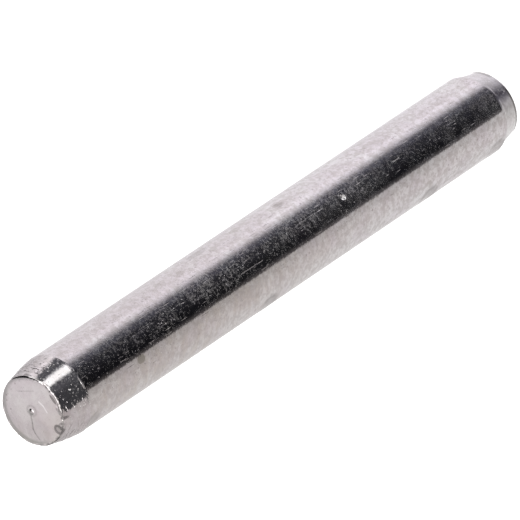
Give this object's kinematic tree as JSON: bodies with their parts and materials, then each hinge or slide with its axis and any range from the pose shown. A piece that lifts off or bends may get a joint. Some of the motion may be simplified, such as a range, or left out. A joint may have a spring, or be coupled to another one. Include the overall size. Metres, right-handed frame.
{
  "type": "float pin",
  "caption": "Short turned steel pin with a lead-in taper at each end, which a carburettor float swings on.",
  "frame": {"origin": "middle of the foot's flat face, which the pin stands on", "axes": "+Z along the pin's axis, from the foot up to the parted end with the nub"},
  "size_m": [0.0024, 0.0024, 0.022],
  "materials": {
    "steel": "bright ground and barrel-polished, with fine pits and stains, and turning rings on the tapers"
  },
  "bodies": {
    "root": {"float_pin": "steel"}
  },
  "joints": []
}
